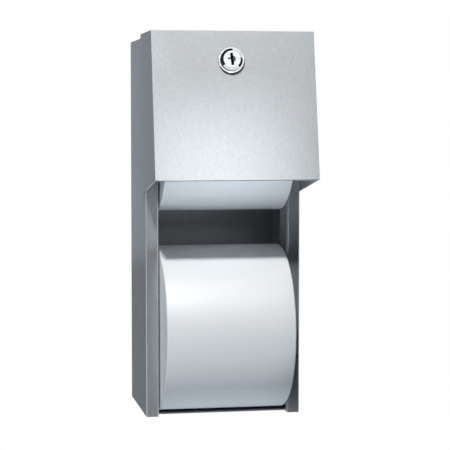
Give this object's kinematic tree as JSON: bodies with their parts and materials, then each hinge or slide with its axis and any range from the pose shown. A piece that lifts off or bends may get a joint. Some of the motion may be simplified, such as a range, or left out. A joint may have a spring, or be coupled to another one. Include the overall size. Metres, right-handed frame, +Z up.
{
  "type": "double roll toilet paper dispenser",
  "caption": "Wall-hung stainless steel dispenser with two toilet rolls, one above the other, on sprung spindles, and a slanted front door with a cam lock.",
  "frame": {"origin": "middle of the back panel's wall face, half way up the cabinet", "axes": "+Y into the wall, the front faces -Y, +Z up, +X to the right of someone who faces the front"},
  "size_m": [0.127, 0.16, 0.305],
  "materials": {
    "satin_steel": "satin",
    "plain_steel": "satin",
    "chrome": "polished",
    "spring_steel": "satin",
    "moulded_plastic": "satin",
    "tissue": "matte",
    "cardboard": "matte"
  },
  "bodies": {
    "cabinet": {"back_panel": "satin_steel", "bottom_pan": "satin_steel", "top_panel": "satin_steel", "left_side_panel": "satin_steel", "right_side_panel": "satin_steel", "left_inner_plate": "plain_steel", "right_inner_plate": "plain_steel", "left_front_rail": "plain_steel", "left_rear_rail": "plain_steel", "right_front_rail": "plain_steel", "right_rear_rail": "plain_steel", "left_front_rail_lower_rivet": "plain_steel", "left_front_rail_upper_rivet": "plain_steel", "left_rear_rail_lower_rivet": "plain_steel", "left_rear_rail_upper_rivet": "plain_steel", "right_front_rail_lower_rivet": "plain_steel", "right_front_rail_upper_rivet": "plain_steel", "right_rear_rail_lower_rivet": "plain_steel", "right_rear_rail_upper_rivet": "plain_steel", "left_spindle_seat": "moulded_plastic", "right_spindle_seat": "moulded_plastic", "left_pawl_pin": "plain_steel", "right_pawl_pin": "plain_steel", "left_pawl_spring": "spring_steel", "right_pawl_spring": "spring_steel", "lock_catch": "plain_steel", "left_catch_rivet": "plain_steel", "right_catch_rivet": "plain_steel", "lower_spindle_barrel": "moulded_plastic", "lower_spindle_spring": "spring_steel"},
    "door": {"door_shell": "satin_steel", "lock_housing": "chrome", "lock_nut": "plain_steel", "left_stud_retainer": "spring_steel", "right_stud_retainer": "spring_steel"},
    "lock": {"lock_plug": "chrome", "lock_cam": "plain_steel", "cam_screw": "plain_steel"},
    "lower_roll": {"lower_roll_tissue": "tissue", "lower_roll_core": "cardboard"},
    "lower_plunger": {"lower_spindle_plunger": "moulded_plastic"},
    "reserve_spindle": {"reserve_spindle_barrel": "moulded_plastic", "reserve_spindle_spring": "spring_steel"},
    "reserve_roll": {"reserve_roll_tissue": "tissue", "reserve_roll_core": "cardboard"},
    "reserve_plunger": {"reserve_spindle_plunger": "moulded_plastic"},
    "left_pawl": {"left_pawl": "plain_steel"},
    "right_pawl": {"right_pawl": "plain_steel"}
  },
  "joints": [
    {"name": "door_swing", "type": "hinge", "parent": "cabinet", "child": "door", "pos_m": [0, -0.0895, 0.036], "axis": [1, 0, 0], "range_deg": [0, 70]},
    {"name": "lock_turn", "type": "hinge", "parent": "door", "child": "lock", "pos_m": [-0.0024, -0.14224, 0.1313], "axis": [0, -0.9814, 0.1918], "range_deg": [0, 90]},
    {"name": "lower_roll_spin", "type": "hinge", "parent": "cabinet", "child": "lower_roll", "pos_m": [0, -0.0693, -0.0826], "axis": [1, 0, 0], "continuous": true},
    {"name": "lower_spindle_push", "type": "slide", "parent": "cabinet", "child": "lower_plunger", "axis": [-1, 0, 0], "range_m": [0, 0.0072], "stiffness_N_per_m": 150, "springref_m": -0.005, "deforming": ["lower_spindle_spring"]},
    {"name": "reserve_drop", "type": "slide", "parent": "cabinet", "child": "reserve_spindle", "axis": [0, 0, -1], "range_m": [0, 0.027]},
    {"name": "reserve_roll_spin", "type": "hinge", "parent": "reserve_spindle", "child": "reserve_roll", "pos_m": [0, -0.0693, 0.0795], "axis": [1, 0, 0], "continuous": true},
    {"name": "reserve_spindle_push", "type": "slide", "parent": "reserve_spindle", "child": "reserve_plunger", "axis": [-1, 0, 0], "range_m": [0, 0.0072], "stiffness_N_per_m": 150, "springref_m": -0.005, "deforming": ["reserve_spindle_spring"]},
    {"name": "left_pawl_swing", "type": "hinge", "parent": "cabinet", "child": "left_pawl", "pos_m": [0, -0.0493, 0.08], "axis": [1, 0, 0], "range_deg": [0, 90]},
    {"name": "right_pawl_swing", "type": "hinge", "parent": "cabinet", "child": "right_pawl", "pos_m": [0, -0.0493, 0.08], "axis": [1, 0, 0], "range_deg": [0, 90]}
  ],
  "couplings": [
    {"joint": "left_pawl_swing", "follows": "reserve_drop", "rad_per_m": 56.885},
    {"joint": "right_pawl_swing", "follows": "reserve_drop", "rad_per_m": 56.885}
  ]
}
